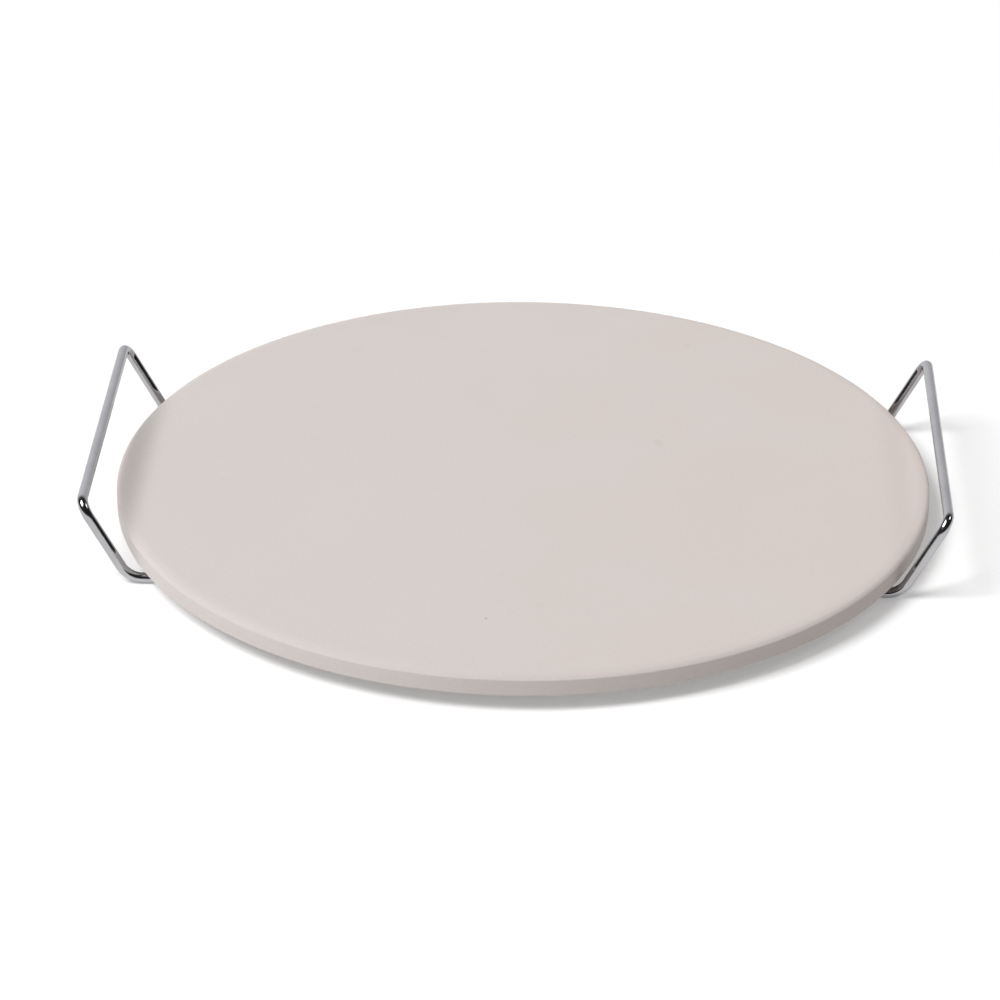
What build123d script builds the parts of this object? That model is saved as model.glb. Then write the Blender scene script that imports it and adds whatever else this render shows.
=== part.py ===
from build123d import *
import os
from math import sqrt

# A round pizza stone on a low chromed wire rack with a raised carrying handle at each end.
# Millimetres, +Z up. The origin is on the table, under the middle of the rack.
# X runs from the left handle to the right one, Y from front to rear.

# The stone
stone_diameter = 380.0
stone_thickness = 10.0
bevel_width = 4.2  # how far the sloping border reaches in from the wall
bevel_drop = 0.8  # how far the slope falls from the flat top to the shoulder
shoulder_width = 0.82  # how far the steep shoulder under the slope reaches in from the wall
shoulder_drop = 1.4  # how far the shoulder falls from the slope to the wall
crest_round = 12.0  # soft edge between the flat top and the slope
shoulder_round = 3.4  # rounds the slope over into the shoulder
wall_edge_round = 0.3  # the crisp edge where the shoulder meets the wall
arris_chamfer = 0.6  # edge between the wall and the underside, rubbed down before firing

# The long wire of the rack, bent round into a closed loop that ends in the two handles
wire_diameter = 4.8
leg_spacing = 165.2  # between the centre lines of the two legs, and of the two runs
handle_rise = 37.0  # from the centre line of the runs up to that of the bar
top_bend_radius = 7.0  # on the centre line, where a leg turns into the bar
low_bend_radius = 11.0  # on the centre line, where a run turns up into a leg

# The two thinner cross wires that carry the stone, resistance-welded on top of the runs
cross_wire_diameter = 3.0
cross_wire_spacing = 200.0  # between their centre lines
cross_wire_overhang = 4.0  # from the centre line of a run out to the cut end
cut_end_chamfer = 0.3
weld_set_down = 0.2  # how far a crossing sinks together when it is welded

# How the stone lies in the rack
seat_clearance = 0.3  # between the underside of the stone and the cross wires
leg_gap = 3.55  # from the wall to the legs, with the stone in the middle
bar_gap = 2.3  # from the wall out to the inner side of each bar, with the stone in the middle
lift_clearance = 0.5  # what is left of the right bar gap: the stone lies this near that bar

os.makedirs("parts", exist_ok=True)

# Heights, from the table up
wire_radius = wire_diameter / 2
cross_wire_radius = cross_wire_diameter / 2
run_height = wire_radius
cross_wire_height = wire_diameter + cross_wire_radius - weld_set_down
stone_base = cross_wire_height + cross_wire_radius + seat_clearance
stone_top = stone_base + stone_thickness
bar_height = run_height + handle_rise

# The bars stand just outside the stone's wall, so that the stone lifts straight up between them.
# Each leg passes the wall's lower edge at the leg gap and leans out from there to its bar.
stone_radius = stone_diameter / 2
leg_y = leg_spacing / 2
bar_x = stone_radius + bar_gap + wire_radius
leg_x_at_base = sqrt((stone_radius + leg_gap + wire_radius) ** 2 - leg_y**2)
leg_slope = (bar_x - leg_x_at_base) / (bar_height - stone_base)
low_x = leg_x_at_base - leg_slope * (stone_base - run_height)

# The stone is loose between the legs, and lies over towards the right handle.
stone_x = bar_gap - lift_clearance
wall_x = stone_x + stone_radius
bevel_base = stone_top - bevel_drop
wall_top = bevel_base - shoulder_drop

# The stone: one half section with its softened edges, turned about the stone's upright axis
with BuildPart() as baking_stone:
    with BuildSketch(Plane.XZ) as half_section:
        with BuildLine():
            Polyline(
                (stone_x, stone_base),
                (wall_x, stone_base),
                (wall_x, wall_top),
                (wall_x - shoulder_width, bevel_base),
                (wall_x - bevel_width, stone_top),
                (stone_x, stone_top),
                close=True,
            )
        make_face()
        fillet(half_section.vertices().group_by(Axis.X)[-2], shoulder_round)
        fillet(half_section.vertices().group_by(Axis.Y)[-1].sort_by(Axis.X)[-1], crest_round)
        fillet(half_section.vertices().group_by(Axis.X)[-1].sort_by(Axis.Y)[-1], wall_edge_round)
        chamfer(half_section.vertices().group_by(Axis.Y)[0].sort_by(Axis.X)[-1], arris_chamfer)
    revolve(axis=Axis((stone_x, 0, 0), (0, 0, 1)))
baking_stone.part.label = "baking_stone"
export_step(baking_stone.part, "parts/baking_stone.step")

# The handle wire: one length of round wire with eight bends, its ends butt-welded together in
# the middle of a run. Under the stone it makes the two straight runs that stand on the table.
# At each end it turns up and outwards into the legs, and crosses over as the bar that is held.
with BuildPart() as handle_wire:
    with BuildLine() as route:
        FilletPolyline(
            (low_x, -leg_y, run_height),
            (bar_x, -leg_y, bar_height),
            (bar_x, leg_y, bar_height),
            (low_x, leg_y, run_height),
            (-low_x, leg_y, run_height),
            (-bar_x, leg_y, bar_height),
            (-bar_x, -leg_y, bar_height),
            (-low_x, -leg_y, run_height),
            radius=2 * [low_bend_radius, top_bend_radius, top_bend_radius, low_bend_radius],
            close=True,
        )
    with BuildSketch(Plane(origin=(0, -leg_y, run_height), z_dir=(1, 0, 0))):
        Circle(wire_radius)
    sweep(path=route.wire())
handle_wire.part.label = "handle_wire"
export_step(handle_wire.part, "parts/handle_wire.step")
wire_length = route.wire().length
mean_section = handle_wire.part.volume / wire_length
print("handle wire cut length", round(wire_length, 1), "mean section", round(mean_section, 2))

# The cross wires: straight lengths laid across both runs, their cut ends just past the welds
cross_wire_length = leg_spacing + 2 * cross_wire_overhang
for wire_name, side in (("left_cross_wire", -1), ("right_cross_wire", 1)):
    with BuildPart() as cross_wire:
        with Locations((side * cross_wire_spacing / 2, 0, cross_wire_height)):
            Cylinder(cross_wire_radius, cross_wire_length, rotation=(90, 0, 0))
        chamfer(cross_wire.edges().filter_by(GeomType.CIRCLE), cut_end_chamfer)
    cross_wire.part.label = wire_name
    export_step(cross_wire.part, f"parts/{wire_name}.step")

print("stone from", round(stone_base, 2), "to", round(stone_top, 2), "off the middle", round(stone_x, 2))
print("low bends at x", round(low_x, 2), "bars at x", round(bar_x, 2), "bar height", round(bar_height, 2))
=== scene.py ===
# %% [markdown]
# # A pizza stone on its wire rack
#
# The object is a round slab of unglazed ceramic that lies loose in a rack of chromed wire. The CAD
# model fixes every size and place. This file dresses it: it makes smooth surfaces over the CAD solids,
# gives them their finishes, and sets up a small studio around them. Lengths are in metres.

# %% Load the fixed frame
import math

import bpy
import numpy as np
from mathutils import Matrix, Vector


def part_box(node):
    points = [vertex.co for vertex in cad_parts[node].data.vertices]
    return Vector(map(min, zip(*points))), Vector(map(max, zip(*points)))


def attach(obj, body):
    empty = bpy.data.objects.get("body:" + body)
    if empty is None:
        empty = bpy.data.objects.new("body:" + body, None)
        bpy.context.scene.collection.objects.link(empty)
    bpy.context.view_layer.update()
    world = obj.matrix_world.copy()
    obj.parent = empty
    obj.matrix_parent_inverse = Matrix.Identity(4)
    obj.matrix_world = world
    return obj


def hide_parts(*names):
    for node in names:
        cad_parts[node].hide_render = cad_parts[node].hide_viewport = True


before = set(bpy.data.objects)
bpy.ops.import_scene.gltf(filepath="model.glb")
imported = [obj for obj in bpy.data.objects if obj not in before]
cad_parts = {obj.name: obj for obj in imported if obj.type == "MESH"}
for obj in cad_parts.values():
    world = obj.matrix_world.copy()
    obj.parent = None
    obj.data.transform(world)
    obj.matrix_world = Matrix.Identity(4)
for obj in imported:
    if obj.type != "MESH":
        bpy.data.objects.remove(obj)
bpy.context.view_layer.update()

MM = 0.001

# %% [markdown]
# ## The camera
#
# A picture like this is taken with a long lens from nearly two metres off, a little to the right, and
# looking down at 28 degrees. A long lens keeps the far rim of the round stone almost as wide as the near
# one, so the rim stays a calm ellipse. The camera could be aimed with a Track To constraint, but three
# plain turns, made into one matrix, say exactly how it stands and leave nothing to solve later.

# %% Stand the camera
camera_place = Vector((0.04568, -1.62573, 0.86409))
turn_to_left, look_down, roll = 1.9237, 27.919, 0.2555
camera_data = bpy.data.cameras.new("studio_camera")
camera_data.lens, camera_data.sensor_width = 140.66, 36.0
camera_data.clip_start, camera_data.clip_end = 0.05, 50.0
camera = bpy.data.objects.new("studio_camera", camera_data)
bpy.context.collection.objects.link(camera)
camera.matrix_world = (
    Matrix.Translation(camera_place)
    @ Matrix.Rotation(math.radians(turn_to_left), 4, "Z")
    @ Matrix.Rotation(math.radians(90 - look_down), 4, "X")
    @ Matrix.Rotation(math.radians(roll), 4, "Z")
)
bpy.context.scene.camera = camera
print("camera", round(camera_place.length, 3), "m from the object's foot")

# %% [markdown]
# ## Surfaces from grids
#
# Every piece here is a sheet of points in two directions, joined into four-sided faces. The wire is a
# ring of points repeated along its route, and the stone is a half section repeated round its axis. So one
# helper can make them all: it takes the grid of points as a numpy array and writes it into a mesh. A grid
# that closes on itself is joined round, and a grid that ends in a point gets one shared point there, with
# a fan of triangles, so that no hole is left at a pole.

# %% Turn a grid of points into a piece
def grid_faces(rows, columns, join_rows):
    """The four corners of each face: points (i, j), (i, j+1), (i+1, j+1) and (i+1, j), where j runs
    round and joins up, and i runs on, joining up only if asked."""
    i = np.arange(rows if join_rows else rows - 1)[:, None]
    j = np.arange(columns)[None, :]
    i_next, j_next = (i + 1) % rows, (j + 1) % columns
    row, row_next = i * columns, i_next * columns
    quads = np.stack([row + j, row + j_next, row_next + j_next, row_next + j], -1)
    return quads.reshape(-1, 4)


def pole_faces(ring_start, columns, pole, outward_last):
    """A fan of triangles from one pole point to the ring that starts at ring_start."""
    j = np.arange(columns)
    a, b = ring_start + j, ring_start + (j + 1) % columns
    pair = (a, b) if outward_last else (b, a)
    return np.stack([pair[0], pair[1], np.full(columns, pole)], -1)


def piece_from_grid(name, grid, body, replaced=None, join_rows=False, poles=None, sharp_from=None):
    """A mesh from a grid of points (rows, columns, 3), riding on a body."""
    rows, columns = grid.shape[:2]
    points = grid.reshape(-1, 3)
    quads = grid_faces(rows, columns, join_rows)
    corners, counts = [quads.reshape(-1)], [np.full(len(quads), 4)]
    if poles is not None:
        first, last = len(points), len(points) + 1
        points = np.vstack([points, poles])
        first_fan = pole_faces(0, columns, first, False)
        last_fan = pole_faces((rows - 1) * columns, columns, last, True)
        fans = np.vstack([first_fan, last_fan])
        corners.append(fans.reshape(-1))
        counts.append(np.full(len(fans), 3))
    corners, counts = np.concatenate(corners), np.concatenate(counts)
    mesh = bpy.data.meshes.new(name)
    mesh.vertices.add(len(points))
    mesh.vertices.foreach_set("co", points.astype(np.float32).reshape(-1))
    mesh.loops.add(len(corners))
    mesh.loops.foreach_set("vertex_index", corners.astype(np.int32))
    mesh.polygons.add(len(counts))
    mesh.polygons.foreach_set("loop_start", (np.cumsum(counts) - counts).astype(np.int32))
    mesh.update(calc_edges=True)
    mesh.validate()
    mesh.polygons.foreach_set("use_smooth", np.ones(len(mesh.polygons), dtype=bool))
    if sharp_from is not None:
        mesh.set_sharp_from_angle(angle=math.radians(sharp_from))
    piece = bpy.data.objects.new(name, mesh)
    bpy.context.collection.objects.link(piece)
    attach(piece, body)
    if replaced is not None:
        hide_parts(replaced)
    print(name, "has", len(mesh.polygons), "faces")
    return piece


# %% [markdown]
# ## Rounding the corners of a line
#
# Both the bent wire and the edge of the stone start as straight lines with corners, and every corner has
# a radius that someone chose: the pin that the wire was bent round, or the soft edge of the mould. The
# line could be made as a curve object with a bevel, but then its radii are only near what was asked. Here
# each corner is replaced by a true arc. It starts where the straight line touches a circle of that radius.

# %% Replace corners by arcs
def round_corners(corners, radii, closed, steps):
    """Points and directions along straight lines joined by arcs. For a corner with turning angle A and
    radius R the arc starts R * tan(A / 2) before the corner. A point after turning by t lies at
    start + R * sin(t) * d + R * (1 - cos(t)) * n, with d the incoming direction and n the direction
    square to it towards the inside of the bend."""
    corners = np.asarray(corners, dtype=float)
    before, after = np.roll(corners, 1, axis=0), np.roll(corners, -1, axis=0)
    d_in, d_out = corners - before, after - corners
    if not closed:
        corners, d_in, d_out = corners[1:-1], d_in[1:-1], d_out[1:-1]
    d_in = d_in / np.linalg.norm(d_in, axis=1)[:, None]
    d_out = d_out / np.linalg.norm(d_out, axis=1)[:, None]
    angle = np.arccos(np.clip((d_in * d_out).sum(1), -1, 1))
    inside = d_out - d_in * np.cos(angle)[:, None]
    inside = inside / np.linalg.norm(inside, axis=1)[:, None]
    radii = np.asarray(radii, dtype=float)
    start = corners - d_in * (radii * np.tan(angle / 2))[:, None]
    t = angle[:, None] * np.linspace(0, 1, steps)[None, :]
    across, inward = radii[:, None] * np.sin(t), radii[:, None] * (1 - np.cos(t))
    points = start[:, None] + across[..., None] * d_in[:, None] + inward[..., None] * inside[:, None]
    along = np.cos(t)[..., None] * d_in[:, None] + np.sin(t)[..., None] * inside[:, None]
    return points.reshape(-1, 3), along.reshape(-1, 3)


# %% [markdown]
# ## Finishes: two effects that the materials share
#
# Fired clay and plated wire look nothing alike, yet both vary in the same two ways: slowly, over
# centimetres, and finely, over a millimetre or less. Each of the two is a node group with named inputs,
# built once. A material then places it with its own scale and strength. The groups give only numbers.
# The shader itself stays in each material.

# %% Node helpers and the two shared groups
def place(tree, kind, inputs=None, **settings):
    """Adds a node, sets its properties, and sets or links its inputs by name or number."""
    made = tree.nodes.new(kind)
    for key, value in settings.items():
        setattr(made, key, value)
    for key, value in (inputs or {}).items():
        if isinstance(value, bpy.types.NodeSocket):
            tree.links.new(value, made.inputs[key])
        else:
            made.inputs[key].default_value = value
    return made


def new_group(name, inputs, outputs):
    """An empty node group with its inputs and outputs, and the two sides that its nodes link to."""
    group = bpy.data.node_groups.new(name, "ShaderNodeTree")
    for title, kind, value in inputs:
        socket = group.interface.new_socket(title, in_out="INPUT", socket_type=kind)
        if value is not None:
            socket.default_value = value
    for title, kind in outputs:
        group.interface.new_socket(title, in_out="OUTPUT", socket_type=kind)
    return group, group.nodes.new("NodeGroupInput").outputs, group.nodes.new("NodeGroupOutput")


slow_variation, given, result = new_group(
    "slow variation",
    [("Vector", "NodeSocketVector", None), ("Scale", "NodeSocketFloat", 20.0),
     ("Low", "NodeSocketFloat", 0.0), ("High", "NodeSocketFloat", 1.0)],
    [("Value", "NodeSocketFloat")],
)
clouds = place(slow_variation, "ShaderNodeTexNoise",
               {"Vector": given["Vector"], "Scale": given["Scale"], "Detail": 3.0, "Roughness": 0.55})
spread = place(slow_variation, "ShaderNodeMapRange",
               {"Value": clouds.outputs["Fac"], "From Min": 0.3, "From Max": 0.7, "To Min": given["Low"],
                "To Max": given["High"]}, interpolation_type="SMOOTHSTEP")
slow_variation.links.new(spread.outputs[0], result.inputs["Value"])

fine_grain, given, result = new_group(
    "fine grain",
    [("Vector", "NodeSocketVector", None), ("Scale", "NodeSocketFloat", 800.0),
     ("Pits", "NodeSocketFloat", 0.3)],
    [("Value", "NodeSocketFloat"), ("Height", "NodeSocketFloat")],
)
grains = place(fine_grain, "ShaderNodeTexNoise",
               {"Vector": given["Vector"], "Scale": given["Scale"], "Detail": 4.0, "Roughness": 0.62})
cells = place(fine_grain, "ShaderNodeTexVoronoi", {"Vector": given["Vector"], "Scale": given["Scale"]})
pit = place(fine_grain, "ShaderNodeMapRange",
            {"Value": cells.outputs["Distance"], "From Min": 0.0, "From Max": 0.22,
             "To Min": -1.0, "To Max": 0.0}, interpolation_type="SMOOTHSTEP")
height = place(fine_grain, "ShaderNodeMath",
               {0: pit.outputs[0], 1: given["Pits"], 2: grains.outputs["Fac"]}, operation="MULTIPLY_ADD")
fine_grain.links.new(grains.outputs["Fac"], result.inputs["Value"])
fine_grain.links.new(height.outputs[0], result.inputs["Height"])


def new_material(name):
    """A material with an empty node tree, and that tree."""
    material = bpy.data.materials.new(name)
    material.use_nodes = True
    material.node_tree.nodes.clear()
    return material, material.node_tree


print("groups", [group.name for group in bpy.data.node_groups])

# %% [markdown]
# ## The stone
#
# The stone is pressed and fired: a flat disc with a narrow sloping border. The slope starts at a very
# soft crest, rolls over into a steep shoulder, and meets the wall at a crisp edge, where the two halves
# of the mould part. The underside edge is rubbed down before firing. A cylinder with a Bevel modifier
# would give one bevel all over, and these edges all differ. So the half section is drawn with its own
# radii and carried round the stone's axis.

# %% The stone's half section
stone_low, stone_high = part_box("baking_stone")
stone_axis = (stone_low[0] + stone_high[0]) / 2
stone_radius = (stone_high[0] - stone_low[0]) / 2
underside, top = stone_low[2], stone_high[2]
bevel_width, bevel_drop, arris = 4.2 * MM, 0.8 * MM, 0.6 * MM
shoulder_width, shoulder_drop = 0.82 * MM, 1.4 * MM
section_corners = [
    (0, 0, top), (stone_radius - bevel_width, 0, top), (stone_radius - shoulder_width, 0, top - bevel_drop),
    (stone_radius, 0, top - bevel_drop - shoulder_drop), (stone_radius, 0, underside + arris),
    (stone_radius - arris, 0, underside), (0, 0, underside),
]
crest_round, shoulder_round, small_round = 12.0 * MM, 3.4 * MM, 0.3 * MM
edge_radii = [crest_round, shoulder_round, small_round, small_round, small_round]
arc_points = 16
edge, _ = round_corners(section_corners, edge_radii, False, arc_points)
flat_rings, first_share, last_share = 20, 0.02, 0.97
flat_radii = np.linspace(first_share, last_share, flat_rings) * edge[0, 0]
upper_flat = np.stack([flat_radii, 0 * flat_radii, 0 * flat_radii + top], 1)
lower_flat = np.stack([flat_radii[::-1], 0 * flat_radii, 0 * flat_radii + underside], 1)
half_section = np.vstack([upper_flat, edge, lower_flat])
print("stone radius", round(stone_radius / MM, 2), "mm, half section of", len(half_section), "points")


# %% Turn the half section about the axis
def turned(section, axis_x, steps):
    """A point at radius r and height z of the half section goes to
    (axis + r * cos(a), r * sin(a), z) for every angle a of a full turn."""
    a = -np.linspace(0, 2 * np.pi, steps, endpoint=False)[None, :]
    r, z = section[:, 0][:, None], section[:, 2][:, None]
    return np.stack([axis_x + r * np.cos(a), r * np.sin(a), z + 0 * a], -1)


sections_round = 720
stone = piece_from_grid(
    "stone_disc", turned(half_section, stone_axis, sections_round), "stone", "baking_stone",
    poles=[(stone_axis, 0, top), (stone_axis, 0, underside)],
)

# %% [markdown]
# ## The handle wire
#
# One drawn steel wire makes both runs, both handles and all eight bends, and its ends are welded together
# in the middle of a run. It is a circle carried along its route. At each point the circle needs two
# directions square to the wire. The route lies in a sheet folded up at both ends like a tray, so one of
# them can be the direction square to that sheet, which never turns suddenly. Where a wire this thick is
# bent tightly it flattens a little, and the ring of points is squeezed there by the same few hundredths.

# %% The route of the handle wire
wire_low, wire_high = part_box("handle_wire")
wire_radius = 2.4 * MM
leg_y = wire_high[1] - wire_radius
bar_x, bar_z = wire_high[0] - wire_radius, wire_high[2] - wire_radius
run_z = wire_low[2] + wire_radius
low_x = 174.717 * MM  # where the middle line of a leg would meet that of its run
low_bend, top_bend = 11.0 * MM, 7.0 * MM
right_end = [(low_x, -leg_y, run_z), (bar_x, -leg_y, bar_z), (bar_x, leg_y, bar_z), (low_x, leg_y, run_z)]
left_end = [(-x, -y, z) for x, y, z in right_end]
bend_steps = 25
bend_radii = 2 * [low_bend, top_bend, top_bend, low_bend]
bends, along = round_corners(right_end + left_end, bend_radii, True, bend_steps)
print("bends run from", np.round(bends.min(0) / MM, 1), "to", np.round(bends.max(0) / MM, 1))


# %% Straight stretches between the bends
def with_straights(points, directions, bend_steps, straight_steps):
    """Puts evenly spaced points, (1 - t) * a + t * b, between the end a of each bend and the start b of
    the next, so that no face runs the whole length of a straight stretch."""
    bends = points.reshape(-1, bend_steps, 3)
    ways = directions.reshape(-1, bend_steps, 3)
    t = np.linspace(0, 1, straight_steps + 2)[1:-1][None, :, None]
    a, b = bends[:, -1][:, None], np.roll(bends, -1, axis=0)[:, 0][:, None]
    straights = (1 - t) * a + t * b
    straight_ways = np.repeat(ways[:, -1][:, None], straight_steps, axis=1)
    return (np.concatenate([bends, straights], 1).reshape(-1, 3),
            np.concatenate([ways, straight_ways], 1).reshape(-1, 3))


straight_steps = 60
route, along = with_straights(bends, along, bend_steps, straight_steps)
step_length = np.linalg.norm(np.roll(route, -1, axis=0) - route, axis=1)
distance_along = np.concatenate([[0], np.cumsum(step_length)[:-1]])
print("wire route", round(step_length.sum() / MM, 1), "mm long,", len(route), "rings")


# %% The directions square to the wire
def tray_frame(route, along, leg_way):
    """N is square to the folded sheet: with (tx, tz) the wire's direction seen from the front, pointing
    outwards, N = side * (-tz, 0, tx). On the bars, which run straight to the rear, the leg's is kept.
    B = along x N completes the pair."""
    least = 1e-3  # where the direction seen from the front is shorter than this, the wire is a bar
    side = np.sign(route[:, 0])
    seen = along[:, [0, 2]]
    length = np.linalg.norm(seen, axis=1)
    outward = np.stack([side * leg_way[0], np.full(len(route), leg_way[1])], 1)
    seen = np.where(length[:, None] > least, seen / np.maximum(length, least)[:, None], outward)
    seen = seen * np.where(seen[:, 0] * side < 0, -1.0, 1.0)[:, None]
    n = side[:, None] * np.stack([-seen[:, 1], 0 * side, seen[:, 0]], 1)
    return n, np.cross(along, n)


leg = np.array([bar_x - low_x, bar_z - run_z])
leg = leg / np.linalg.norm(leg)
square_n, square_b = tray_frame(route, along, leg)
print("legs lean", round(math.degrees(math.atan2(leg[0], leg[1])), 1), "degrees outwards")


# %% Carry a ring of points along the wire
def wire_skin(route, n, b, radius_n, radius_b, around):
    """Ring i is route[i] + radius_n[i] * cos(a) * N[i] + radius_b[i] * sin(a) * B[i]."""
    a = np.linspace(0, 2 * np.pi, around, endpoint=False)[None, :, None]
    return (route[:, None] + radius_n[:, None, None] * np.cos(a) * n[:, None]
            + radius_b[:, None, None] * np.sin(a) * b[:, None])


def wire_uv(piece, rows, columns, distances, total, join_rows):
    """A UV map whose u is the distance along the wire in metres and whose v is the share of a turn. Poles
    take the last ring's u. A face across the seam has corners at both ends of the map, so its low
    corners move up by a whole turn, or by the whole length."""
    mesh = piece.data
    corner = np.empty(len(mesh.loops), dtype=np.int32)
    mesh.loops.foreach_get("vertex_index", corner)
    ring, spoke = np.minimum(corner // columns, rows - 1), corner % columns
    u, v = distances[ring], spoke / columns
    face_start = np.empty(len(mesh.polygons), dtype=np.int32)
    mesh.polygons.foreach_get("loop_start", face_start)
    face_total = np.empty(len(mesh.polygons), dtype=np.int32)
    mesh.polygons.foreach_get("loop_total", face_total)
    face = np.repeat(np.arange(len(face_total)), face_total)
    v_high = np.maximum.reduceat(v, face_start)[face]
    v = np.where((v_high > 0.75) & (v < 0.25), v + 1, v)
    if join_rows:
        u_high = np.maximum.reduceat(u, face_start)[face]
        u = np.where((u_high > 0.75 * total) & (u < 0.25 * total), u + total, u)
    layer = mesh.uv_layers.new(name="along_wire")
    layer.data.foreach_set("uv", np.stack([u, v], 1).astype(np.float32).reshape(-1))


# Where the direction changes by full_turning over two rings, the wire is flattened by its whole share.
full_turning, flattened_by, smoothing_passes = 0.08, 0.02, 6
turning = np.linalg.norm(np.roll(along, -1, axis=0) - np.roll(along, 1, axis=0), axis=1)
squeeze = np.minimum(turning / full_turning, 1.0)
for _ in range(smoothing_passes):
    squeeze = (np.roll(squeeze, 1) + 2 * squeeze + np.roll(squeeze, -1)) / 4
is_top_bend = route[:, 2] > (run_z + bar_z) / 2
radius_n = wire_radius * (1 - flattened_by * squeeze * ~is_top_bend)
radius_b = wire_radius * (1 - flattened_by * squeeze * is_top_bend)
around = 40
handle_skin = wire_skin(route, square_n, square_b, radius_n, radius_b, around)
handle = piece_from_grid(
    "handle_wire_skin", handle_skin, "rack", "handle_wire", join_rows=True,
)
wire_uv(handle, len(route), around, distance_along, step_length.sum(), True)

# %% [markdown]
# ## The cross wires and their welds
#
# Two thinner wires lie across the runs and carry the stone. Their ends are cut square, and the plating
# barrel has taken the burr off. At each crossing a welding machine squeezes the hot wires together, and
# a little metal is pressed out between them: a flat lens of it shows all round the crossing.

# %% Two straight wires with cut ends
cross_radius, end_chamfer = 1.5 * MM, 0.3 * MM
cross_rings, cross_around = 80, 32
rack_pieces = [handle]
for node in ("left_cross_wire", "right_cross_wire"):
    low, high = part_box(node)
    middle_x, middle_z = (low[0] + high[0]) / 2, (low[2] + high[2]) / 2
    inner = np.linspace(low[1] + end_chamfer, high[1] - end_chamfer, cross_rings)
    y = np.concatenate([[low[1], low[1]], inner, [high[1], high[1]]])
    rim = cross_radius - end_chamfer
    radius = np.concatenate([[0.5 * rim, rim], np.full(len(inner), cross_radius), [rim, 0.5 * rim]])
    line = np.stack([np.full(len(y), middle_x), y, np.full(len(y), middle_z)], 1)
    up = np.tile([0.0, 0.0, 1.0], (len(y), 1))
    sideways = np.cross(np.tile([0.0, 1.0, 0.0], (len(y), 1)), up)
    cross_skin = wire_skin(line, up, sideways, radius, radius, cross_around)
    cross = piece_from_grid(
        node + "_skin", cross_skin, "rack", node,
        poles=[line[0], line[-1]], sharp_from=35,
    )
    wire_uv(cross, len(y), cross_around, y - y[0], y[-1] - y[0], False)
    rack_pieces.append(cross)


# %% The weld at each crossing
def lens(centre, radii, phase, rows, columns):
    """A flattened ball: centre + (a * sin(p) * cos(q), b * sin(p) * sin(q), c * cos(p)), its outline
    made a little uneven by the factor 1 + 0.05 * sin(3 * q + phase) + 0.03 * sin(5 * q - phase)."""
    p = np.linspace(0, np.pi, rows + 2)[1:-1][:, None]
    q = -np.linspace(0, 2 * np.pi, columns, endpoint=False)[None, :]
    uneven = 1 + 0.05 * np.sin(3 * q + phase) + 0.03 * np.sin(5 * q - phase)
    shape = np.stack([np.sin(p) * np.cos(q) * uneven, np.sin(p) * np.sin(q) * uneven, np.cos(p) + 0 * q], -1)
    return np.asarray(centre) + shape * np.asarray(radii)


cross_x = (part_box("right_cross_wire")[0][0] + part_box("right_cross_wire")[1][0]) / 2
weld_z = run_z + wire_radius - 0.1 * MM  # halfway into the 0.2 mm by which the two wires sink together
weld_radii = (1.75 * MM, 1.9 * MM, 0.55 * MM)
lens_rows, lens_columns, phase_step = 14, 32, 1.7
crossings = [(-cross_x, -leg_y), (cross_x, -leg_y), (cross_x, leg_y), (-cross_x, leg_y)]
for number, (x, y) in enumerate(crossings):
    weld_skin = lens((x, y, weld_z), weld_radii, phase_step * number, lens_rows, lens_columns)
    weld = piece_from_grid(
        f"weld_{number + 1}", weld_skin, "rack",
        poles=[(x, y, weld_z + weld_radii[2]), (x, y, weld_z - weld_radii[2])],
    )
    rack_pieces.append(weld)

# %% [markdown]
# ## Fired clay
#
# The stone is unglazed, so it is matt, and its colour is a pale pinkish beige. Its colour drifts across the
# stone from a cooler beige at -X to a pinker one at +X, and a little in soft patches.
# Close up it is sandy, with fine pits between the grains. Handled edges are worn paler, and that paler edge
# also stands in for the light along the edge line: it is partly wear and partly a painted highlight. A grain
# of iron in the clay burns to a tiny dark speck, and a few faint smudges show where the stone was touched. A
# picture of a stone could be used as a texture, but nodes have no edges or repeats, and they follow the
# piece at any distance. Sand grains also shade each other, so a lit edge looks flatter than smooth paint
# would: that is the shader's Diffuse Roughness.

# %% Ceramic material
clay, tree = new_material("stone_ceramic")
coordinates = place(tree, "ShaderNodeTexCoord")
centred = place(tree, "ShaderNodeMapping",
                {"Vector": coordinates.outputs["Object"], "Location": (-stone_axis, 0, 0)})
where = centred.outputs["Vector"]
patches = place(tree, "ShaderNodeGroup", {"Vector": where, "Scale": 16.0, "Low": -0.2, "High": 0.2},
                node_tree=slow_variation)
along_axis = place(tree, "ShaderNodeSeparateXYZ", {"Vector": where})
# The colour drifts along X: the cooler beige at -X, the pinker one at +X.
drift_reach = 0.9 * stone_radius
across = place(tree, "ShaderNodeMapRange",
               {"Value": along_axis.outputs["X"], "From Min": -drift_reach, "From Max": drift_reach,
                "To Min": 0.1, "To Max": 0.9})
drift = place(tree, "ShaderNodeMath", {0: across.outputs[0], 1: patches.outputs["Value"]}, operation="ADD")
sand = place(tree, "ShaderNodeGroup", {"Vector": where, "Scale": 900.0, "Pits": 0.35}, node_tree=fine_grain)


def mix_colour(tree, factor, a, b, blend="MIX"):
    """A colour Mix node, whose inputs 6 and 7 are its two colours and whose output 2 is the result."""
    made = tree.nodes.new("ShaderNodeMix")
    made.data_type, made.blend_type = "RGBA", blend
    for socket, value in ((made.inputs[0], factor), (made.inputs[6], a), (made.inputs[7], b)):
        if isinstance(value, bpy.types.NodeSocket):
            tree.links.new(value, socket)
        else:
            socket.default_value = value
    return made.outputs[2]


colour = mix_colour(tree, drift.outputs[0], (0.695, 0.647, 0.626, 1.0), (0.687, 0.621, 0.588, 1.0))
sandy = place(tree, "ShaderNodeMapRange",
              {"Value": sand.outputs["Value"], "From Min": 0.3, "From Max": 0.7,
               "To Min": 0.97, "To Max": 1.03})
colour = mix_colour(tree, 1.0, colour, sandy.outputs[0], "MULTIPLY")
print("clay colour starts from two beiges and", len(tree.nodes), "nodes")
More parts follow.
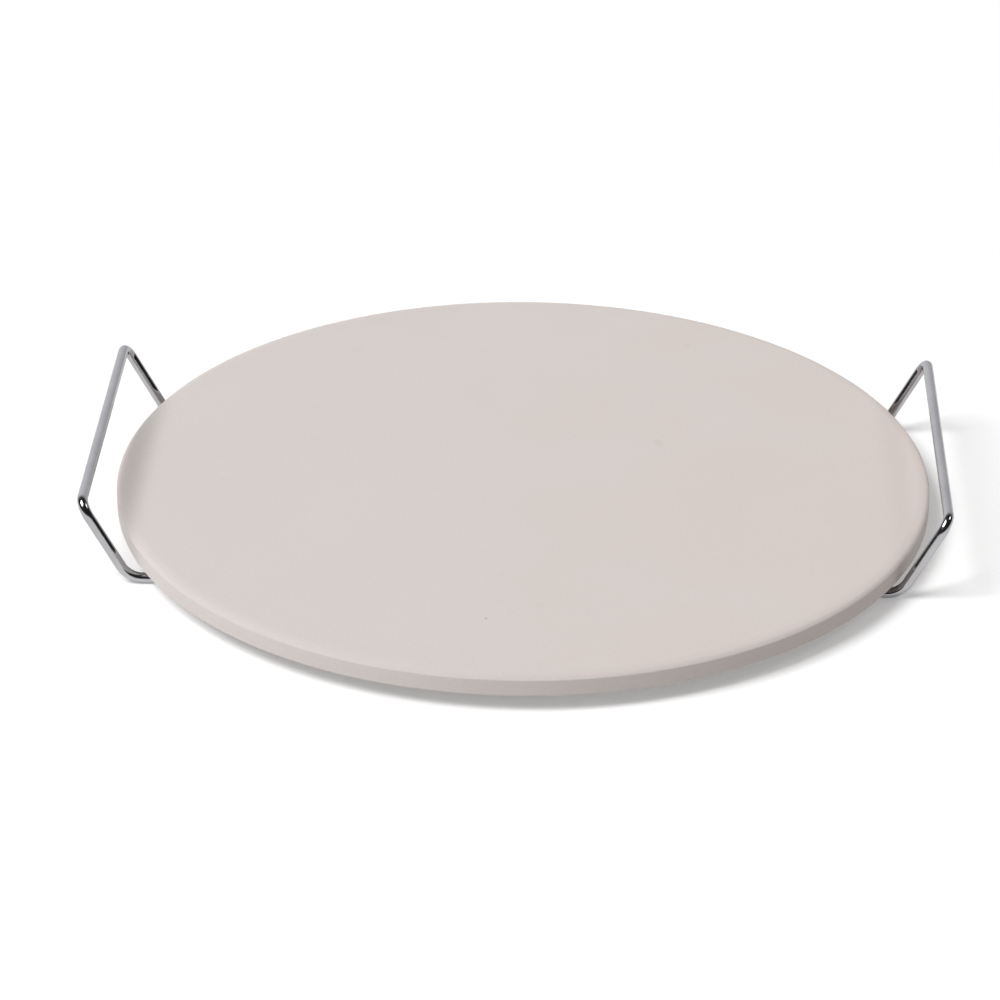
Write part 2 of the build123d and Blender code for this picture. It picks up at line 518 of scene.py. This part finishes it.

# %% Paler edges: wear and a painted highlight
# The paler edge is partly wear and partly a painted highlight; these set where it starts and where it is
# full.
pale_edge_width, full_width = 0.8 * MM, 0.1 * MM  # in from the wall: where the rubbing starts, where it is full
pale_edge_depth, full_depth = 3.0 * MM, 2.2 * MM  # down from the top, the same two
flat = place(tree, "ShaderNodeCombineXYZ", {"X": along_axis.outputs["X"], "Y": along_axis.outputs["Y"]})
from_axis = place(tree, "ShaderNodeVectorMath", {0: flat.outputs[0]}, operation="LENGTH")
at_rim = place(tree, "ShaderNodeMapRange",
               {"Value": from_axis.outputs["Value"], "From Min": stone_radius - pale_edge_width,
                "From Max": stone_radius - full_width})
at_shoulder = place(tree, "ShaderNodeMapRange",
                    {"Value": along_axis.outputs["Z"], "From Min": top - pale_edge_depth,
                     "From Max": top - full_depth})
worn_and_highlit = place(tree, "ShaderNodeMath", {0: at_rim.outputs[0], 1: at_shoulder.outputs[0]},
               operation="MULTIPLY")
broken_up = place(tree, "ShaderNodeGroup", {"Vector": where, "Scale": 90.0, "Low": 0.15},
                  node_tree=slow_variation)
worn_and_highlit = place(tree, "ShaderNodeMath", {0: worn_and_highlit.outputs[0], 1: broken_up.outputs["Value"]},
               operation="MULTIPLY")
# Paler edge colour: partly wear, partly a painted highlight along the edge line.
colour = mix_colour(tree, worn_and_highlit.outputs[0], colour, (0.704, 0.664, 0.641, 1.0))
print("edges rubbed paler from", round((stone_radius - pale_edge_width) / MM, 1), "mm outwards")

# %% Specks and smudges
marks = [
    # x and y from the stone's axis and radius, in mm, and strength. The first is the burnt speck.
    (-11.9, -140.6, 0.75, 0.60),
    (63.0, 33.6, 2.7, 0.075),
    (63.9, 30.3, 2.7, 0.075),
    (-100.4, 29.0, 2.9, 0.035),
    (-86.5, 126.3, 3.2, 0.04),
    (77.4, 139.2, 3.5, 0.04),
    (-138.2, -14.8, 3.8, 0.035),
    (11.9, -128.0, 3.3, 0.035),
]
burnt = (0.23, 0.19, 0.165, 1.0)


def mark(tree, where, x, y, radius, strength):
    """A soft round spot: its whole strength in the core, fading to 0 at its radius."""
    core = 0.35 * radius * MM
    apart = place(tree, "ShaderNodeVectorMath", {0: where, 1: (x * MM, y * MM, top)}, operation="DISTANCE")
    spot = place(tree, "ShaderNodeMapRange",
                 {"Value": apart.outputs["Value"], "From Min": core, "From Max": radius * MM,
                  "To Min": strength, "To Max": 0.0}, interpolation_type="SMOOTHSTEP")
    return spot.outputs[0]


for x, y, radius, strength in marks:
    colour = mix_colour(tree, mark(tree, where, x, y, radius, strength), colour, burnt)
print(len(marks), "marks on the stone")

# %% Put the ceramic together
matt = place(tree, "ShaderNodeMapRange", {"Value": sand.outputs["Value"], "To Min": 0.8, "To Max": 0.95})
relief = place(tree, "ShaderNodeBump",
               {"Height": sand.outputs["Height"], "Strength": 0.35, "Distance": 0.05 * MM})
shader = place(tree, "ShaderNodeBsdfPrincipled",
               {"Base Color": colour, "Roughness": matt.outputs[0], "Normal": relief.outputs[0]})
shader.inputs["Specular IOR Level"].default_value = 0.3
shader.inputs["Diffuse Roughness"].default_value = 0.3
place(tree, "ShaderNodeOutputMaterial", {"Surface": shader.outputs[0]})
stone.data.materials.append(clay)
print("ceramic material has", len(tree.nodes), "nodes")

# %% [markdown]
# ## Chromed wire
#
# The rack is drawn steel wire with a bright nickel and chrome plate. Drawing leaves very fine lines along
# the wire, and the plate covers them without hiding them. The plate is also never quite flat, and handling
# leaves a thin haze. Round each weld it is duller and a little yellower. The lines follow the wire through
# its bends, so they read the UV map, and the haze reads the piece's own place.

# %% Chrome material
chrome, tree = new_material("chromed_wire")
coordinates = place(tree, "ShaderNodeTexCoord")
where = coordinates.outputs["Object"]
haze = place(tree, "ShaderNodeGroup", {"Vector": where, "Scale": 60.0}, node_tree=slow_variation)
stretched = place(tree, "ShaderNodeMapping",
                  {"Vector": coordinates.outputs["UV"], "Scale": (40.0, 60.0, 1.0)})
lines = place(tree, "ShaderNodeTexNoise", {"Vector": stretched.outputs[0], "Scale": 1.0, "Detail": 2.0})
skin = place(tree, "ShaderNodeGroup", {"Vector": where, "Scale": 420.0, "Pits": 0.0}, node_tree=fine_grain)

folded = place(tree, "ShaderNodeVectorMath", {0: where}, operation="ABSOLUTE")
to_weld = place(tree, "ShaderNodeVectorMath", {0: folded.outputs[0], 1: (cross_x, leg_y, weld_z)},
                operation="DISTANCE")
heat = place(tree, "ShaderNodeMapRange",
             {"Value": to_weld.outputs["Value"], "From Min": 2.2 * MM, "From Max": 6.5 * MM,
              "To Min": 1.0, "To Max": 0.0}, interpolation_type="SMOOTHSTEP")
plate = mix_colour(tree, haze.outputs["Value"], (0.436, 0.431, 0.449, 1.0), (0.481, 0.476, 0.494, 1.0))
plate = mix_colour(tree, heat.outputs[0], plate, (0.43, 0.41, 0.365, 1.0))
gloss = place(tree, "ShaderNodeMapRange", {"Value": haze.outputs["Value"], "To Min": 0.10, "To Max": 0.17})
gloss = place(tree, "ShaderNodeMath", {0: heat.outputs[0], 1: 0.25, 2: gloss.outputs[0]},
              operation="MULTIPLY_ADD")
uneven = place(tree, "ShaderNodeMath", {0: lines.outputs["Fac"], 1: 0.5, 2: skin.outputs["Height"]},
               operation="MULTIPLY_ADD")
relief = place(tree, "ShaderNodeBump",
               {"Height": uneven.outputs[0], "Strength": 0.25, "Distance": 0.012 * MM})
shader = place(tree, "ShaderNodeBsdfPrincipled",
               {"Base Color": plate, "Metallic": 1.0, "Roughness": gloss.outputs[0],
                "Normal": relief.outputs[0]})
shader.inputs["Specular Tint"].default_value = (0.8, 0.8, 0.8, 1.0)
place(tree, "ShaderNodeOutputMaterial", {"Surface": shader.outputs[0]})
for piece in rack_pieces:
    piece.data.materials.append(chrome)
print("chrome material has", len(tree.nodes), "nodes, on", len(rack_pieces), "pieces")

# %% [markdown]
# ## The floor
#
# The rack stands on a plain white floor, so wide that its edge is never seen. It has to look white and
# still carry the soft shadow. White paint in plain light gives a little less than full white, and less
# again far from the lamp, where a low view would show a grey horizon. So the floor adds the missing part as
# a faint glow that only the camera and reflections see. The shadow stays, because round the object the glow
# is the same everywhere, and matt surfaces get next to no light from it.

# %% A wide white floor
def floor_grid(half, steps):
    """Point (i, j) lies at (x, y, 0) with x and y spread as half * u * |u| for even steps of u from -1
    to 1, so that the faces are small near the object and large far away."""
    u = np.linspace(-1, 1, steps)
    spread_out = half * u * np.abs(u)
    x, y = np.meshgrid(spread_out, spread_out)
    return np.stack([x, y, 0 * x], -1)


def flat_sheet(name, grid):
    """A single open sheet of faces over a grid of points."""
    rows, columns = grid.shape[:2]
    faces = grid_faces(rows, columns, False).reshape(rows - 1, columns, 4)[:, :-1].reshape(-1, 4)
    mesh = bpy.data.meshes.new(name)
    mesh.from_pydata(grid.reshape(-1, 3).tolist(), [], faces.tolist())
    sheet = bpy.data.objects.new(name, mesh)
    bpy.context.collection.objects.link(sheet)
    return sheet


floor_half, floor_steps = 16.0, 29
floor = flat_sheet("studio_floor", floor_grid(floor_half, floor_steps))
paper, tree = new_material("white_paper")
coordinates = place(tree, "ShaderNodeTexCoord")
fibre = place(tree, "ShaderNodeGroup", {"Vector": coordinates.outputs["Object"], "Scale": 6.0, "Low": 0.0},
              node_tree=slow_variation)
white = mix_colour(tree, fibre.outputs["Value"], (0.800, 0.800, 0.800, 1.0), (0.806, 0.806, 0.806, 1.0))
near_glow, far_glow = 0.27, 0.85
glow_rises_from, glow_full_at = 0.7, 8.0  # metres from the middle of the floor
apart = place(tree, "ShaderNodeVectorMath", {0: coordinates.outputs["Object"]}, operation="LENGTH")
missing = place(tree, "ShaderNodeMapRange",
                {"Value": apart.outputs["Value"], "From Min": glow_rises_from, "From Max": glow_full_at,
                 "To Min": near_glow, "To Max": far_glow})
path = place(tree, "ShaderNodeLightPath")
direct = place(tree, "ShaderNodeMath", {0: path.outputs["Is Camera Ray"], 1: missing.outputs[0]},
               operation="MULTIPLY")
mirrored = place(tree, "ShaderNodeMath",
                 {0: path.outputs["Is Glossy Ray"], 1: path.outputs["Is Transmission Ray"]},
                 operation="MAXIMUM")
glow = place(tree, "ShaderNodeMath", {0: mirrored.outputs[0], 1: near_glow, 2: direct.outputs[0]},
             operation="MULTIPLY_ADD")
shader = place(tree, "ShaderNodeBsdfPrincipled",
               {"Base Color": white, "Roughness": 0.9, "Emission Color": (1.0, 1.0, 1.0, 1.0)})
shader.inputs["Specular IOR Level"].default_value = 0.0
tree.links.new(glow.outputs[0], shader.inputs["Emission Strength"])
place(tree, "ShaderNodeOutputMaterial", {"Surface": shader.outputs[0]})
floor.data.materials.append(paper)
print("floor", [round(v, 1) for v in floor.dimensions], "m")

# %% [markdown]
# ## Light
#
# One large softbox stands to the left, a little in front, and high up. It lights the top of the stone and
# the wall on the left, lets the wall fall into shade on the right, and lays the left bar's soft shadow on
# the rim. A small, weak lamp on the right keeps that shade open, and sets a second point of light in the
# bends. The room itself gives a weak even light, and the white floor sends more of it up at the wall.
# Bare metal has no colour of its own: it shows what stands round it. So a dome far outside stands for the
# studio that the metal sees: a grey cloth behind, paler to the left, and the dark room in front.

# %% The softbox and the small lamp
def square_light(name, bearing, height, distance, size, power, colour):
    """A square light aimed at the origin from a bearing (degrees, 0 is +X and 90 is +Y) and a height
    angle: its place is distance * (cos(h) * cos(b), cos(h) * sin(b), sin(h))."""
    b, h = math.radians(bearing), math.radians(height)
    stand = distance * Vector((math.cos(h) * math.cos(b), math.cos(h) * math.sin(b), math.sin(h)))
    data = bpy.data.lights.new(name, "AREA")
    data.shape, data.size, data.energy, data.color = "SQUARE", size, power, colour
    light = bpy.data.objects.new(name, data)
    bpy.context.collection.objects.link(light)
    light.matrix_world = Matrix.Translation(stand) @ (-stand).to_track_quat("-Z", "Y").to_matrix().to_4x4()
    light.visible_camera = False
    print(name, "at", [round(v, 2) for v in stand])


square_light("softbox", bearing=210, height=55, distance=12.0, size=5.7, power=1310.0,
             colour=(1.0, 1.0, 1.0))
square_light("small_lamp", bearing=2, height=48, distance=4.0, size=1.0, power=14.0,
             colour=(1.0, 0.97, 0.95))

# %% The room
world = bpy.data.worlds.new("room")
bpy.context.scene.world = world
world.use_nodes = True
tree = world.node_tree
tree.nodes.clear()
path = place(tree, "ShaderNodeLightPath")
seen = place(tree, "ShaderNodeMath", {0: path.outputs["Is Camera Ray"], 1: path.outputs["Is Glossy Ray"]},
             operation="MAXIMUM")
seen = place(tree, "ShaderNodeMath", {0: seen.outputs[0], 1: path.outputs["Is Transmission Ray"]},
             operation="MAXIMUM")
room = place(tree, "ShaderNodeBackground", {"Color": (1.0, 1.0, 1.0, 1.0), "Strength": 0.19})
white = place(tree, "ShaderNodeBackground", {"Color": (1.0, 1.0, 1.0, 1.0), "Strength": 1.0})
mixed = place(tree, "ShaderNodeMixShader", {0: seen.outputs[0], 1: room.outputs[0], 2: white.outputs[0]})
place(tree, "ShaderNodeOutputWorld", {"Surface": mixed.outputs[0]})
print("room light strength", round(room.inputs["Strength"].default_value, 2))


# %% What the metal sees
def dome_grid(radius, rows, columns):
    """Point (i, j) lies at radius * (cos(e) * sin(a), cos(e) * cos(a), sin(e)), with the height angle e
    from 0 to 90 degrees and a once round, in even steps."""
    e = np.linspace(0, np.pi / 2, rows)[:, None]
    a = np.linspace(0, 2 * np.pi, columns)[None, :]
    return radius * np.stack([np.cos(e) * np.sin(a), np.cos(e) * np.cos(a), np.sin(e) + 0 * a], -1)


dome_radius, dome_rows, dome_columns = 16.0, 13, 49
surround = flat_sheet("studio_surround", dome_grid(dome_radius, dome_rows, dome_columns))
surround.visible_camera = surround.visible_diffuse = surround.visible_shadow = False
cloth, tree = new_material("studio_surround")
coordinates = place(tree, "ShaderNodeTexCoord")
way = place(tree, "ShaderNodeVectorMath", {0: coordinates.outputs["Object"]}, operation="NORMALIZE")
way = place(tree, "ShaderNodeSeparateXYZ", {"Vector": way.outputs[0]})
to_rear = place(tree, "ShaderNodeMapRange",
                {"Value": way.outputs["Y"], "From Min": 0.3, "From Max": 0.75,
                 "To Min": 0.03, "To Max": 1.0}, interpolation_type="SMOOTHSTEP")
to_left = place(tree, "ShaderNodeMapRange",
                {"Value": way.outputs["X"], "From Min": -0.5, "From Max": 0.5,
                 "To Min": 1.08, "To Max": 0.665})
shade = place(tree, "ShaderNodeMath", {0: to_rear.outputs[0], 1: to_left.outputs[0]}, operation="MULTIPLY")
glow = place(tree, "ShaderNodeEmission", {"Color": (0.978, 0.980, 1.0, 1.0), "Strength": shade.outputs[0]})
place(tree, "ShaderNodeOutputMaterial", {"Surface": glow.outputs[0]})
surround.data.materials.append(cloth)
bpy.context.scene.view_settings.view_transform = "Standard"
print("surround of radius", round(surround.dimensions.z, 1), "m, seen only by reflections")
